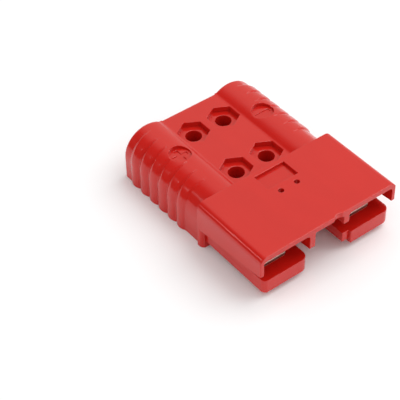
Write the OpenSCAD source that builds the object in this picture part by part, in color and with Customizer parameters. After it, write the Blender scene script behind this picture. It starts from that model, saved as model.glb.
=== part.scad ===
// Genderless flat power connector: one moulded housing, two crimp contacts
// and the leaf spring under each contact. X runs across the connector, the
// mating end faces -Y, the cables enter at +Y and the underside lies on z = 0.
// A mate is the same part turned half a turn about X, at mid height.

/* [Housing] */
// Overall length from the mating end to the cable end
housing_len = 84; // [83:0.5:90]
// Overall width of the hood and the collar
housing_w = 64; // [63:0.5:68]
// Overall height
housing_h = 21; // [20.5:0.1:22]
// How far the mating housing enters
mate_depth = 33.2; // [31:0.1:35]
// Thickness of the hood's top wall
hood_t = 2.25; // [1.8:0.05:2.6]
// Thickness of the hood's outer walls
side_wall_t = 1.7; // [1.6:0.1:2.2]
// Rounding of the hood's long top edges
edge_r = 3; // [2:0.5:3.5]

/* [Cable barrels] */
// Distance between the two contact axes
pole_pitch = 40; // [39.5:0.5:41]
// Outer radius of each cable barrel
barrel_r = 11; // [10.5:0.1:11.2]
// Bore for the insulated cable
cable_bore_d = 14.4; // [13:0.2:15]
// Depth of the valley between the barrels below the top
web_drop = 2.4; // [1.8:0.1:3]
// Grip ribs on each outer flank
rib_count = 6; // [3:1:8]
// How far a grip rib stands out
rib_rise = 0.9; // [0.5:0.1:1]

/* [Fixing holes] */
// Hole spacing across the connector
hole_dx = 14.5; // [14:0.1:16]
// Hole spacing along the connector
hole_dy = 26.2; // [24:0.1:28]
// Diameter of a fixing hole, for an M6 screw
hole_d = 6.4; // [5.5:0.1:6.6]
// Width across flats of a nut recess
nut_af = 11.2; // [10.2:0.1:11.4]
// Depth of a nut recess
nut_depth = 2.2; // [1.5:0.1:3]

/* [Contacts] */
// Outer diameter of the crimp barrel
crimp_od = 11.6; // [11:0.1:11.8]
// Inner diameter of the crimp barrel, for 35 mm2 cable
crimp_id = 9.2; // [8.5:0.1:9.6]
// Thickness of the contact blade
blade_t = 1.9; // [1.6:0.1:2]
// Greatest width of the contact blade
blade_w = 11.8; // [11:0.1:12]
// Thickness of a leaf spring
leaf_t = 0.5; // [0.4:0.05:0.7]

/* [Hidden] */
$fn = 64;
eps = 0.01;

front_y = -housing_len / 2;
rear_y = housing_len / 2;
mid_z = housing_h / 2;
pole_x = pole_pitch / 2;
root_y = front_y + mate_depth;

// collar and hood
collar_len = 3;
hood_rear_y = root_y + collar_len;
hood_ceiling = housing_h - hood_t;
side_x = housing_w / 2;
mouth_x = side_x - side_wall_t;
wall_front_z = mid_z + 1.7;
wall_rear_z = 2 * mid_z - wall_front_z;
corner_r = 0.4;
collar_corner_r = 2;
ceiling_r = 1.5;

// inner walls of the hood, on either side of the middle bay
inner_wall_near = 6.7;
inner_wall_far = 9.3;
key_wall_len = 12;
key_wall_z = housing_h - 6.2;
key_notch_x = 3.9;
key_notch_r = 3.2;
key_notch_deep = 0.7;

// tongues
tongue_gap = 0.35;
tongue_z = hood_t + tongue_gap;
tongue_top = mid_z - blade_t;
tongue_end_r = 3.1;
tongue_heel_r = 2;
left_tongue_in = -inner_wall_far - 0.15;
right_tongue_in = inner_wall_far + 1.4;
tongue_out = mouth_x - 0.15;
key_in = 7.6;
key_setback = 1.2;
key_end_y = root_y - 13;
key_low_z = tongue_z + 1.6;

// barrels and web
crest_z = housing_h - 0.2;
barrel_z = crest_z - barrel_r;
web_z = housing_h - web_drop;
foot_r = 3;
end_r = 1.5;
foot_reach = barrel_r + foot_r;
foot_up = web_z + foot_r - barrel_z;
foot_out = sqrt(foot_reach * foot_reach - foot_up * foot_up);
foot_x = pole_x - foot_out;
foot_w = foot_out * foot_r / foot_reach;
foot_top = web_z + foot_r * (1 - foot_up / foot_reach);
rib_start_y = rear_y - 4.5;
rib_pitch = 5.78;
rib_end_y = rib_start_y - rib_count * rib_pitch;
rib_sunk = 0.1;
rib_h = rib_rise + rib_sunk;
rib_r = (rib_pitch * rib_pitch / 4 + rib_h * rib_h) / (2 * rib_h);
rib_core_r = barrel_r - 1.5;
mark_d = 8.7;
mark_y = 20;
mark_deep = 1.6;

// small features of the hood
pin_hole_d = 2.2;
pin_hole_x = 3.75;
pin_hole_y = front_y + 22.7;
pocket_w = 14;
pocket_len = 8.1;
pocket_rear_y = root_y + 0.9;
pocket_deep = 1.3;

// fixing holes and the pocket moulded between them from below
hole_mid_y = 15.4;
boss_r = 5.6;
core_w = 15;
core_roof_z = 13.6;

// contacts and the chambers that hold them
tip_y = front_y + 6.5;
crimp_rear_y = rear_y - 21;
crimp_front_y = root_y + 7.3;
stop_y = root_y + 3.5;
crimp_clear = 0.3;
crimp_depth = 20;
chamber_w = blade_w + 0.6;
chamber_top = mid_z + 0.6;
channel_w = 10;
channel_z = tongue_top - 2;
tip_w = 10;
tip_bevel = 2.3;
tip_drop = 1.1;
flare_len = 13;
neck_end_y = stop_y + 2;
hook_w = 9.2;
hook_t = 1.2;
hook_drop = 1.5;
neck_w = 7.6;
blade_round_y = root_y - 4.7;
shoulder_r = 2.2;
cable_mouth_y = crimp_rear_y + 0.5;
lead_in = 0.8;

// leaf springs
leaf_w = 8.8;
leaf_foot = 1.5;
leaf_front_y = tip_y + hook_t + 0.4;
leaf_rear_y = root_y - 0.6;
leaf_mid_y = (leaf_front_y + leaf_rear_y) / 2;
leaf_rise = tongue_top - channel_z - leaf_t;
leaf_half = (leaf_rear_y - leaf_front_y) / 2 - leaf_foot;
leaf_r = (leaf_half * leaf_half + leaf_rise * leaf_rise) / (2 * leaf_rise);

// ---- helpers ----

// Extrudes a front-view outline (x, z) from y0 to y1.
module along_y(y0, y1) {
    translate([0, y1, 0]) rotate([90, 0, 0]) linear_extrude(y1 - y0) children();
}

// Extrudes a side-view outline (y, z) from x0 to x1.
module along_x(x0, x1) {
    translate([x0, 0, 0]) rotate([90, 0, 90]) linear_extrude(x1 - x0) children();
}

module bar(x0, x1, y0, y1, z0, z1) {
    translate([x0, y0, z0]) cube([x1 - x0, y1 - y0, z1 - z0]);
}

// A cylinder that lies along Y.
module rod(r, y0, y1, x = 0, z = 0, tip_r = -1) {
    translate([x, y0, z]) rotate([-90, 0, 0])
        cylinder(h = y1 - y0, r1 = tip_r < 0 ? r : tip_r, r2 = r);
}

// A rectangle with its two upper corners rounded.
module arched_rect(x0, x1, z0, z1, r) {
    translate([x0, z0]) square([x1 - x0, z1 - z0 - r]);
    translate([x0 + r, z0]) square([x1 - x0 - 2 * r, z1 - z0]);
    for (x = [x0 + r, x1 - r]) translate([x, z1 - r]) circle(r);
}

// A plan outline with its two front corners rounded.
module front_rounded(x0, x1, y0, y1, r_left, r_right) {
    translate([x0 + r_left, y0]) square([x1 - x0 - r_left - r_right, y1 - y0]);
    translate([x0, y0 + r_left]) square([r_left + eps, y1 - y0 - r_left]);
    translate([x1 - r_right - eps, y0 + r_right])
        square([r_right + eps, y1 - y0 - r_right]);
    translate([x0 + r_left, y0 + r_left]) circle(r_left);
    translate([x1 - r_right, y0 + r_right]) circle(r_right);
}

// ---- housing ----

// Right cable barrel: round on top, square below, its rear edge rounded.
module barrel() {
    translate([pole_x, root_y, barrel_z]) intersection() {
        rotate([-90, 0, 0]) rotate_extrude() rear_rounded(barrel_r);
        bar(-barrel_r - 1, barrel_r + 1, 0, rear_y - root_y, 0, barrel_r + 1);
    }
    translate([pole_x, root_y, 0]) linear_extrude(barrel_z)
        for (s = [0, 1]) mirror([s, 0]) rear_rounded(barrel_r);
}

// Plan or side view of the rear body, its outer rear corner rounded.
module rear_rounded(reach) {
    len = rear_y - root_y;
    square([reach, len - end_r]);
    square([reach - end_r, len]);
    translate([reach - end_r, len - end_r]) circle(end_r);
}

// Right half of the web between the barrels, with the foot of the barrel on it.
module web() {
    web_half(web_z);
    intersection() {
        along_y(root_y, rear_y) barrel_foot();
        web_half(foot_top);
    }
}

module web_half(top) {
    translate([0, root_y, 0]) mirror([1, 0, 0]) rotate([0, -90, 0])
        linear_extrude(pole_x) rear_rounded(top);
}

// Concave fillet where a barrel rises from the web.
module barrel_foot() {
    difference() {
        translate([foot_x, web_z - eps]) square([foot_w, foot_top - web_z + eps]);
        translate([foot_x, web_z + foot_r]) circle(foot_r);
    }
}

// Scalloped edge of the ribs: radius outwards from the barrel axis, then y.
module rib_edge() {
    intersection() {
        union() {
            for (i = [0 : rib_count - 1])
                translate([barrel_r + rib_rise - rib_r, rib_end_y + (i + 0.5) * rib_pitch])
                    circle(rib_r);
        }
        translate([rib_core_r, rib_end_y])
            square([barrel_r + rib_rise - rib_core_r, rib_count * rib_pitch]);
    }
}

// The ribs of the right flank fade out towards the crest of the barrel.
module ribs() {
    intersection() {
        translate([pole_x, 0, barrel_z]) rotate([-90, 0, 0]) rotate_extrude() rib_edge();
        rod(barrel_r, rib_end_y, rib_start_y, pole_x + rib_rise, barrel_z);
        bar(pole_x, side_x, rib_end_y, rib_start_y, barrel_z, housing_h);
    }
    translate([pole_x, 0, 0]) linear_extrude(barrel_z) rib_edge();
}

module collar() {
    intersection() {
        along_y(root_y, hood_rear_y)
            arched_rect(-side_x, side_x, 0, housing_h, edge_r);
        linear_extrude(housing_h)
            front_rounded(-side_x, side_x, root_y, hood_rear_y + 1,
                          collar_corner_r, collar_corner_r);
    }
}

// Hood: top plate, outer walls and the inner walls beside the middle bay.
// The walls end on a slanted line that passes mid height halfway in, so
// that those of two mated housings meet edge to edge.
module hood() {
    difference() {
        intersection() {
            along_y(front_y, hood_rear_y)
                arched_rect(-side_x, side_x, 0, housing_h, edge_r);
            linear_extrude(housing_h)
                front_rounded(-side_x, side_x, front_y, hood_rear_y, corner_r, corner_r);
        }
        along_y(front_y - 1, root_y) {
            arched_rect(-mouth_x, -inner_wall_far, -1, hood_ceiling, ceiling_r);
            arched_rect(-inner_wall_near, inner_wall_near, -1, hood_ceiling, 0.5);
            arched_rect(inner_wall_far, mouth_x, -1, hood_ceiling, ceiling_r);
        }
        bar(inner_wall_near - 1, inner_wall_far + 2, front_y + key_wall_len, root_y,
            -1, hood_ceiling);
        bar(0, inner_wall_far + 1, front_y - 1, root_y, -1, key_wall_z);
        along_x(-side_x - 1, side_x + 1)
            polygon([[front_y - 1, -1], [root_y, -1], [root_y, wall_rear_z],
                     [front_y, wall_front_z], [front_y - 1, wall_front_z]]);
        bar(-side_x - 1, side_x + 1, root_y - eps, hood_rear_y + 1, -1, wall_rear_z);
    }
}

module left_tongue() {
    translate([0, 0, tongue_z]) linear_extrude(tongue_top - tongue_z)
        front_rounded(-tongue_out, left_tongue_in, front_y, root_y + 1,
                      tongue_heel_r, tongue_end_r);
}

// The right tongue carries the key beside it, a little set back.
module right_tongue() {
    translate([0, 0, tongue_z]) linear_extrude(tongue_top - tongue_z)
        front_rounded(right_tongue_in, tongue_out, front_y, root_y + 1,
                      0.5, tongue_end_r);
    bar(key_in, right_tongue_in + 1, front_y + key_setback, key_end_y,
        key_low_z, tongue_top);
}

// Space for one contact: cable bore, crimp chamber, blade slot and the
// channel along the tongue in which the spring lies.
module pole_chamber() {
    rod(cable_bore_d / 2, cable_mouth_y, rear_y + 1, pole_x, mid_z);
    translate([pole_x, rear_y - lead_in, mid_z]) rotate([-90, 0, 0])
        cylinder(h = lead_in + eps, r1 = cable_bore_d / 2, r2 = cable_bore_d / 2 + lead_in);
    rod(crimp_od / 2 + crimp_clear, stop_y, rear_y, pole_x, mid_z);
    bar(pole_x - chamber_w / 2, pole_x + chamber_w / 2, root_y - 1, stop_y + 1,
        channel_z, chamber_top);
    bar(pole_x - channel_w / 2, pole_x + channel_w / 2, tip_y - 0.2, root_y,
        channel_z, mid_z);
}

module fixing_hole() {
    translate([0, 0, -1]) cylinder(h = housing_h + 2, d = hole_d);
    translate([0, 0, web_z - nut_depth]) rotate(30)
        cylinder(h = housing_h, r = nut_af / sqrt(3), $fn = 6);
}

module housing() {
    color([0.78, 0.11, 0.09]) difference() {
        union() {
            collar();
            hood();
            left_tongue();
            right_tongue();
            for (s = [0, 1]) mirror([s, 0, 0]) {
                barrel();
                web();
                ribs();
            }
        }
        for (s = [0, 1]) mirror([s, 0, 0]) pole_chamber();
        for (x = [-hole_dx / 2, hole_dx / 2], y = [-hole_dy / 2, hole_dy / 2])
            translate([x, hole_mid_y + y, 0]) fixing_hole();
        for (s = [-1, 1]) {
            translate([s * pole_x, mark_y, crest_z - mark_deep]) cylinder(h = 5, d = mark_d);
            translate([s * pin_hole_x, pin_hole_y, 0]) cylinder(h = 30, d = pin_hole_d);
        }
        bar(-pocket_w / 2, pocket_w / 2, pocket_rear_y - pocket_len, pocket_rear_y,
            housing_h - pocket_deep, housing_h + 1);
        bar(-core_w / 2, core_w / 2, hole_mid_y - hole_dy / 2 + boss_r,
            hole_mid_y + hole_dy / 2 - boss_r, -1, core_roof_z);
        translate([key_notch_x, front_y + key_notch_deep - key_notch_r, hood_ceiling - 1])
            cylinder(h = 10, r = key_notch_r);
    }
}

// ---- contact ----

// Plan outline of the blade: wider towards the middle, then rounded in.
module blade_plan() {
    flare_y = tip_y + flare_len;
    polygon([[-tip_w / 2, tip_y], [tip_w / 2, tip_y],
             [blade_w / 2, flare_y], [blade_w / 2, blade_round_y],
             [-blade_w / 2, blade_round_y], [-blade_w / 2, flare_y]]);
    translate([0, blade_round_y]) circle(blade_w / 2);
    translate([-neck_w / 2, blade_round_y]) square([neck_w, neck_end_y - blade_round_y]);
}

// Blade with a bevelled tip, from which a lip hooks down over the spring.
module blade() {
    intersection() {
        translate([0, 0, tongue_top]) linear_extrude(blade_t) blade_plan();
        along_x(-blade_w, blade_w)
            polygon([[tip_y, 0], [neck_end_y, 0], [neck_end_y, mid_z],
                     [tip_y + tip_bevel, mid_z], [tip_y, mid_z - tip_drop]]);
    }
    bar(-hook_w / 2, hook_w / 2, tip_y, tip_y + hook_t,
        tongue_top - hook_drop, tongue_top + 0.5);
}

// Crimp barrel, the waisted shoulder before it and the blade.
module contact() {
    difference() {
        union() {
            rod(crimp_od / 2, crimp_front_y, crimp_rear_y, 0, mid_z);
            intersection() {
                rod(crimp_od / 2, stop_y + 0.2, crimp_front_y, 0, mid_z, shoulder_r);
                bar(-neck_w, neck_w, stop_y, crimp_front_y, 0, housing_h);
            }
            blade();
        }
        rod(crimp_id / 2, crimp_rear_y - crimp_depth, crimp_rear_y + 1, 0, mid_z);
    }
}

module positive_contact() {
    color([0.86, 0.85, 0.80]) translate([-pole_x, 0, 0]) contact();
}

module negative_contact() {
    color([0.86, 0.85, 0.80]) translate([pole_x, 0, 0]) contact();
}

// ---- spring ----

// Bowed leaf with a flat foot at each end, seen from the side (y, z).
module leaf_side() {
    for (y = [leaf_front_y, leaf_rear_y - leaf_foot - eps])
        translate([y, channel_z]) square([leaf_foot + eps, leaf_t]);
    intersection() {
        translate([leaf_mid_y, channel_z + leaf_rise - leaf_r]) difference() {
            circle(leaf_r + leaf_t, $fn = 240);
            circle(leaf_r, $fn = 240);
        }
        translate([leaf_mid_y - leaf_half, channel_z])
            square([2 * leaf_half, leaf_t + leaf_rise]);
    }
}

module leaf_spring() {
    along_x(-leaf_w / 2, leaf_w / 2) leaf_side();
}

module positive_spring() {
    color([0.70, 0.71, 0.72]) translate([-pole_x, 0, 0]) leaf_spring();
}

module negative_spring() {
    color([0.70, 0.71, 0.72]) translate([pole_x, 0, 0]) leaf_spring();
}

housing();
positive_contact();
negative_contact();
positive_spring();
negative_spring();
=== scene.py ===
"""Looks of a flat genderless power connector: a glossy red moulding with
sunk polarity marks, two silver-plated crimp contacts and their leaf springs."""

from math import cos, radians, sin

import bmesh
import bpy
import numpy as np
from mathutils import Matrix, Vector


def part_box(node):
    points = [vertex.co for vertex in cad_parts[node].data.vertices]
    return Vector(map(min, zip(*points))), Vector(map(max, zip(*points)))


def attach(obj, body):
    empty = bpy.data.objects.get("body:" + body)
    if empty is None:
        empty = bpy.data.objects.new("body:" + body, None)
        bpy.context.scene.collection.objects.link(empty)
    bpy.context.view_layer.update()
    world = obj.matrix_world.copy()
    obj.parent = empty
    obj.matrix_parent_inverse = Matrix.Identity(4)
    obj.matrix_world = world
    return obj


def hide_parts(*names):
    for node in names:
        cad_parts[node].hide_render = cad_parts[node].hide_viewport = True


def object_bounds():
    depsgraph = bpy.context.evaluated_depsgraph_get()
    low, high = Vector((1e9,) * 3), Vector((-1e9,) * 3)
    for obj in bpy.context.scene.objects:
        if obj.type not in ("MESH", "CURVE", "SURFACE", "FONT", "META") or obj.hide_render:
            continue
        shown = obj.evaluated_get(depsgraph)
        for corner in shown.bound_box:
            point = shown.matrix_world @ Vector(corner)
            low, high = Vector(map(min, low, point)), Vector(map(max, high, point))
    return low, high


MM = 0.001

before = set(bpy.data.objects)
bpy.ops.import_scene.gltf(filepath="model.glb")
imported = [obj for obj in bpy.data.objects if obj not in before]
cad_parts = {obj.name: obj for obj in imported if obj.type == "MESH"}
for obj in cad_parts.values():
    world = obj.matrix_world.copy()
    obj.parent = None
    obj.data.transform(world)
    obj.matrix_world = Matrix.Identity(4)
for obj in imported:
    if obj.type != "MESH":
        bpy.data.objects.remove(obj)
CAD_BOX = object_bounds()
CENTRE = (CAD_BOX[0] + CAD_BOX[1]) / 2

# ---- skins of the pieces ----
# Depth is that of the remesh grid, rounds are passes of easing on the outer edges.
WELD = 0.0001 * MM
GRID_FILL = 0.99
EASING_STEP = 0.5
INNER_CORNER = radians(40)
HOUSING_SKIN = {"depth": 9, "rounds": 4, "triangles": 190000}
CONTACT_SKIN = {"depth": 9, "rounds": 3, "triangles": 60000}
SPRING_SKIN = {"depth": 8, "rounds": 2, "triangles": 16000}

# ---- polarity marks ----
CREST_Z = CAD_BOX[1].z - 0.2 * MM
MARK_BAR_LENGTH = 6.6 * MM
MARK_BAR_WIDTH = 1.7 * MM
MARK_DEPTH = 0.35 * MM
MARK_FLOOR = 1.6 * MM
MARK_FROM_CABLE_END = 22 * MM

# ---- camera ----
CAMERA_AZIMUTH = radians(-36.64)
CAMERA_ELEVATION = radians(43.79)
CAMERA_ROLL = radians(-1.33)
CAMERA_DISTANCE = 480.55 * MM
CAMERA_LENS = 120.2
CAMERA_SENSOR = 36
AIM_FROM_CENTRE = Vector((-29.85, -5.04, 10.5)) * MM

# ---- light ----
# Lamps stand off the middle of the connector; angles are in degrees, lengths in metres.
OVERHEAD = {"azimuth": 75, "elevation": 58, "distance": 0.7, "size": 0.6, "power": 2.6}
FRONT = {"azimuth": -15, "elevation": 42, "distance": 0.8, "size": 0.5, "power": 0.25}
GLINT = {"azimuth": -127, "elevation": 31, "distance": 1.2, "size": 0.016, "power": 0.25}
FLOOR_REACH = 1.5
WHITE = (1.0, 1.0, 1.0, 1.0)
FLOOR_GREY = (0.97, 0.97, 0.97, 1.0)
FILL = (0.74, 0.74, 0.74, 1.0)
SIDES = ((0.3, (0.05, 0.05, 0.05)), (0.38, (0.1, 0.1, 0.1)), (0.58, (0.92, 0.9, 0.85)),
         (0.7, (0.98, 0.93, 0.84)), (0.95, (0.75, 0.72, 0.68)))


# ---------------------------------------------------------------- materials

class Value:
    """A shader socket that can be added to and multiplied."""

    def __init__(self, nodes, socket):
        self.nodes = nodes
        self.socket = socket

    def maths(self, operation, *values):
        inputs = {place: value for place, value in enumerate(values)}
        return self.nodes.node("ShaderNodeMath", {"operation": operation}, inputs)

    def __add__(self, other):
        return self.maths("ADD", self, other)

    __radd__ = __add__

    def __mul__(self, other):
        return self.maths("MULTIPLY", self, other)

    __rmul__ = __mul__


class Nodes:
    """A node tree, to which one method adds every kind of node."""

    def __init__(self, tree):
        self.tree = tree

    def node(self, kind, settings, inputs, output=0):
        made = self.tree.nodes.new(kind)
        for name, value in settings.items():
            if name == "stops":
                self.set_stops(made.color_ramp, value)
            else:
                setattr(made, name, value)
        for place, value in inputs.items():
            if isinstance(value, Value):
                self.link(value, made.inputs[place])
            else:
                made.inputs[place].default_value = value
        return Value(self, made.outputs[output])

    def set_stops(self, ramp, stops):
        while len(ramp.elements) < len(stops):
            ramp.elements.new(1.0)
        for element, (place, colour) in zip(ramp.elements, stops):
            element.position = place
            element.color = (*colour, 1.0)

    def link(self, value, socket):
        self.tree.links.new(value.socket, socket)

    def mix(self, factor, low, high):
        return self.node("ShaderNodeMix", {"data_type": "RGBA"},
                         {0: factor, 6: low, 7: high}, 2)


class Surface(Nodes):
    """A material built from nodes, with its Principled shader to hand."""

    def __init__(self, name, **constants):
        self.material = bpy.data.materials.new(name)
        self.material.use_nodes = True
        super().__init__(self.material.node_tree)
        self.shader = self.tree.nodes["Principled BSDF"]
        for socket, value in constants.items():
            self.shader.inputs[socket.replace("_", " ")].default_value = value

    def place(self, stretch=(1.0, 1.0, 1.0)):
        """Object coordinates in metres, stretched along the axes."""
        where = self.node("ShaderNodeTexCoord", {}, {}, "Object")
        return self.node("ShaderNodeMapping", {}, {"Vector": where, "Scale": stretch})

    def noise(self, where, size, detail=2.0, roughness=0.5):
        """Noise from 0 to 1 whose features are about size metres across."""
        inputs = {"Vector": where, "Scale": 1 / size, "Detail": detail, "Roughness": roughness}
        return self.node("ShaderNodeTexNoise", {}, inputs)

    def feed(self, socket, value):
        self.link(value, self.shader.inputs[socket])

    def bump(self, height, depth):
        """Height from 0 to 1 made into relief of the given depth in metres."""
        relief = self.node("ShaderNodeBump", {}, {"Height": height, "Distance": depth})
        self.feed("Normal", relief)


RED = (0.61, 0.013, 0.008, 1.0)
RED_DEEP = (0.54, 0.010, 0.006, 1.0)
SILVER = (0.88, 0.86, 0.80, 1.0)
SILVER_WARM = (0.80, 0.75, 0.66, 1.0)
STEEL = (0.56, 0.57, 0.58, 1.0)
STEEL_DARK = (0.42, 0.42, 0.43, 1.0)


def red_plastic():
    """Glossy polycarbonate with faint flow marks and a fine moulded skin."""
    surface = Surface("red_plastic", IOR=1.5)
    where = surface.place()
    flow = surface.noise(surface.place((1.0, 0.35, 1.0)), 9 * MM, 3.0)
    surface.feed("Base Color", surface.mix(flow, RED, RED_DEEP))
    haze = surface.noise(where, 4 * MM, 4.0, 0.6)
    surface.feed("Roughness", 0.1 + 0.12 * haze)
    skin = surface.noise(where, 0.5 * MM, 2.0)
    swell = surface.noise(where, 5 * MM, 1.0)
    surface.bump(skin * 0.12 + swell * 0.88, 0.03 * MM)
    return surface.material


def plated_copper():
    """Silver plating, tumbled to a soft shine and scratched along its length."""
    surface = Surface("plated_copper", Metallic=1.0)
    scratches = surface.noise(surface.place((1.0, 0.06, 1.0)), 0.25 * MM, 4.0, 0.7)
    tarnish = surface.noise(surface.place(), 3 * MM, 3.0)
    surface.feed("Base Color", surface.mix(tarnish, SILVER, SILVER_WARM))
    surface.feed("Roughness", 0.24 + 0.18 * scratches)
    surface.bump(scratches, 0.01 * MM)
    return surface.material


def spring_steel():
    """Rolled stainless strip, brushed lengthwise."""
    surface = Surface("spring_steel", Metallic=1.0)
    grain = surface.noise(surface.place((1.0, 0.03, 1.0)), 0.12 * MM, 3.0, 0.7)
    surface.feed("Base Color", surface.mix(grain, STEEL, STEEL_DARK))
    surface.feed("Roughness", 0.26 + 0.16 * grain)
    surface.bump(grain, 0.005 * MM)
    return surface.material


def pale_floor():
    """Matt white board under the connector."""
    surface = Surface("pale_floor", Roughness=0.9)
    surface.shader.inputs["Base Color"].default_value = FLOOR_GREY
    surface.shader.inputs["Specular IOR Level"].default_value = 0.0
    return surface.material


# ------------------------------------------------------------------- pieces

def apply_modifiers(piece):
    """Turns a piece and its modifiers into a plain mesh."""
    view = bpy.context.evaluated_depsgraph_get()
    mesh = bpy.data.meshes.new_from_object(piece.evaluated_get(view))
    piece.modifiers.clear()
    piece.data = mesh


def finished_piece(name, shape, material):
    """A new object made of a bmesh shape, with its material."""
    mesh = bpy.data.meshes.new(name)
    shape.to_mesh(mesh)
    shape.free()
    piece = bpy.data.objects.new(name, mesh)
    bpy.context.scene.collection.objects.link(piece)
    mesh.materials.append(material)
    return piece


def neighbour_sum(values, ends, count):
    """For each point, the sum of a value over the points it shares an edge with."""
    return (np.bincount(ends[:, 0], values[ends[:, 1]], count)
            + np.bincount(ends[:, 1], values[ends[:, 0]], count))


def ease_outer_edges(mesh, rounds):
    """Rounds the edges that stick out and leaves inner corners sharp."""
    count = len(mesh.vertices)
    place = np.empty(count * 3)
    outward = np.empty(count * 3)
    ends = np.empty(len(mesh.edges) * 2, int)
    mesh.vertices.foreach_get("co", place)
    mesh.vertices.foreach_get("normal", outward)
    mesh.edges.foreach_get("vertices", ends)
    place = place.reshape(-1, 3)
    outward = outward.reshape(-1, 3)
    ends = ends.reshape(-1, 2)
    touching = neighbour_sum(np.ones(count), ends, count)
    for _ in range(rounds):
        middle = [neighbour_sum(place[:, axis], ends, count) / touching for axis in range(3)]
        pull = np.stack(middle, axis=1) - place
        sticks_out = np.einsum("ij,ij->i", pull, outward) < 0
        place += EASING_STEP * pull * sticks_out[:, None]
    mesh.vertices.foreach_set("co", place.ravel())
    mesh.update()


def eased_piece(name, node, material, depth, rounds, triangles, cutters=()):
    """A CAD node with its outer edges eased, which stands for that node."""
    shape = bmesh.new()
    shape.from_mesh(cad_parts[node].data)
    bmesh.ops.remove_doubles(shape, verts=shape.verts, dist=WELD)
    piece = finished_piece(name, shape, material)
    for cutter in cutters:
        cut = piece.modifiers.new("cut", "BOOLEAN")
        cut.object = cutter
        cut.operation = "DIFFERENCE"
    even = piece.modifiers.new("even skin", "REMESH")
    even.mode = "SHARP"
    even.octree_depth = depth
    even.scale = GRID_FILL
    even.use_remove_disconnected = False
    apply_modifiers(piece)
    ease_outer_edges(piece.data, rounds)
    thin = piece.modifiers.new("thinned flats", "DECIMATE")
    thin.ratio = min(1.0, triangles / (2 * len(piece.data.polygons)))
    apply_modifiers(piece)
    piece.data.shade_smooth()
    piece.data.set_sharp_from_angle(angle=INNER_CORNER)
    weigh = piece.modifiers.new("flat faces stay flat", "WEIGHTED_NORMAL")
    weigh.weight = 100
    weigh.keep_sharp = True
    apply_modifiers(piece)
    piece.data.materials.clear()
    piece.data.materials.append(material)
    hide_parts(node)
    return piece


def sunk_bar(name, middle, length_x, length_y):
    """A block that sinks one bar of a polarity sign below the floor of its recess."""
    shape = bmesh.new()
    bmesh.ops.create_cube(shape, size=1.0)
    size = Matrix.Diagonal((length_x, length_y, 2 * MARK_DEPTH, 1.0))
    bmesh.ops.transform(shape, matrix=Matrix.Translation(middle) @ size, verts=shape.verts)
    mesh = bpy.data.meshes.new(name)
    shape.to_mesh(mesh)
    shape.free()
    bar = bpy.data.objects.new(name, mesh)
    bpy.context.scene.collection.objects.link(bar)
    return bar


def polarity_cutters():
    """A plus sign for the positive barrel and a minus sign for the negative one."""
    height = CREST_Z - MARK_FLOOR
    y = CAD_BOX[1].y - MARK_FROM_CABLE_END
    plus = Vector((pole_x("positive"), y, height))
    minus = Vector((pole_x("negative"), y, height))
    return [sunk_bar("plus_across", plus, MARK_BAR_LENGTH, MARK_BAR_WIDTH),
            sunk_bar("plus_along", plus, MARK_BAR_WIDTH, MARK_BAR_LENGTH),
            sunk_bar("minus_across", minus, MARK_BAR_LENGTH, MARK_BAR_WIDTH)]


def pole_x(pole):
    low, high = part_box(pole + "_contact")
    return (low.x + high.x) / 2


def hold(piece):
    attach(piece, "root")


# --------------------------------------------------------------------- stage

def studio_floor():
    shape = bmesh.new()
    bmesh.ops.create_grid(shape, x_segments=1, y_segments=1, size=FLOOR_REACH)
    floor = finished_piece("floor", shape, pale_floor())


def soft_lamp(name, azimuth, elevation, distance, size, power):
    """A square lamp that looks at the middle of the connector."""
    lamp = bpy.data.lights.new(name, "AREA")
    lamp.size = size
    lamp.energy = power
    holder = bpy.data.objects.new(name, lamp)
    towards = Vector((sin(radians(azimuth)) * cos(radians(elevation)),
                      -cos(radians(azimuth)) * cos(radians(elevation)),
                      sin(radians(elevation))))
    holder.location = CENTRE + towards * distance
    holder.rotation_euler = towards.to_track_quat("Z", "Y").to_euler()
    bpy.context.scene.collection.objects.link(holder)


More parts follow.
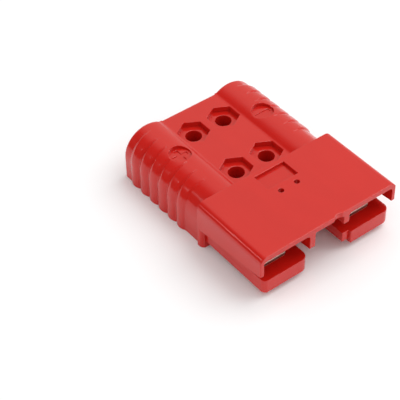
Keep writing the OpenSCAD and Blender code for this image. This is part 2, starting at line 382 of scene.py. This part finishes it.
def studio_world():
    """White to the eye. Reflections see its left side dark and its right side warm white."""
    world = bpy.data.worlds.new("studio")
    world.use_nodes = True
    nodes = Nodes(world.node_tree)
    shader = world.node_tree.nodes["Background"]
    seen = nodes.node("ShaderNodeLightPath", {}, {}, "Is Camera Ray")
    reflected = nodes.node("ShaderNodeLightPath", {}, {}, "Is Glossy Ray")
    towards = nodes.node("ShaderNodeTexCoord", {}, {}, "Generated")
    rightwards = nodes.node("ShaderNodeSeparateXYZ", {}, {"Vector": towards}, "X")
    sides = nodes.node("ShaderNodeValToRGB", {"stops": SIDES}, {"Fac": rightwards * 0.5 + 0.5})
    lit = nodes.mix(reflected, FILL, sides)
    nodes.link(nodes.mix(seen, lit, WHITE), shader.inputs["Color"])
    bpy.context.scene.world = world


def camera():
    towards = Vector((sin(CAMERA_AZIMUTH) * cos(CAMERA_ELEVATION),
                      -cos(CAMERA_AZIMUTH) * cos(CAMERA_ELEVATION),
                      sin(CAMERA_ELEVATION)))
    level = Vector((0, 0, 1)).cross(towards).normalized()
    upright = towards.cross(level)
    right = level * cos(CAMERA_ROLL) + upright * sin(CAMERA_ROLL)
    upright = towards.cross(right)
    holder = bpy.data.objects.new("camera", bpy.data.cameras.new("camera"))
    holder.data.lens = CAMERA_LENS
    holder.data.sensor_width = CAMERA_SENSOR
    turn = Matrix((right, upright, towards)).transposed().to_4x4()
    aim = CENTRE + AIM_FROM_CENTRE
    holder.matrix_world = Matrix.Translation(aim + towards * CAMERA_DISTANCE) @ turn
    bpy.context.scene.collection.objects.link(holder)
    bpy.context.scene.camera = holder


camera()
studio_world()
studio_floor()
soft_lamp("overhead", **OVERHEAD)
soft_lamp("front", **FRONT)
soft_lamp("glint", **GLINT)

RED_PLASTIC = red_plastic()
PLATED_COPPER = plated_copper()
SPRING_STEEL = spring_steel()

signs = polarity_cutters()
housing = eased_piece("housing_skin", "housing", RED_PLASTIC,
                      cutters=signs, **HOUSING_SKIN)
for sign in signs:
    bpy.data.objects.remove(sign)
hold(housing)
for pole in ("positive", "negative"):
    contact = eased_piece(pole + "_contact_skin", pole + "_contact", PLATED_COPPER,
                          **CONTACT_SKIN)
    hold(contact)
    spring = eased_piece(pole + "_spring_skin", pole + "_spring", SPRING_STEEL,
                         **SPRING_SKIN)
    hold(spring)

bpy.context.scene.view_settings.view_transform = "Standard"
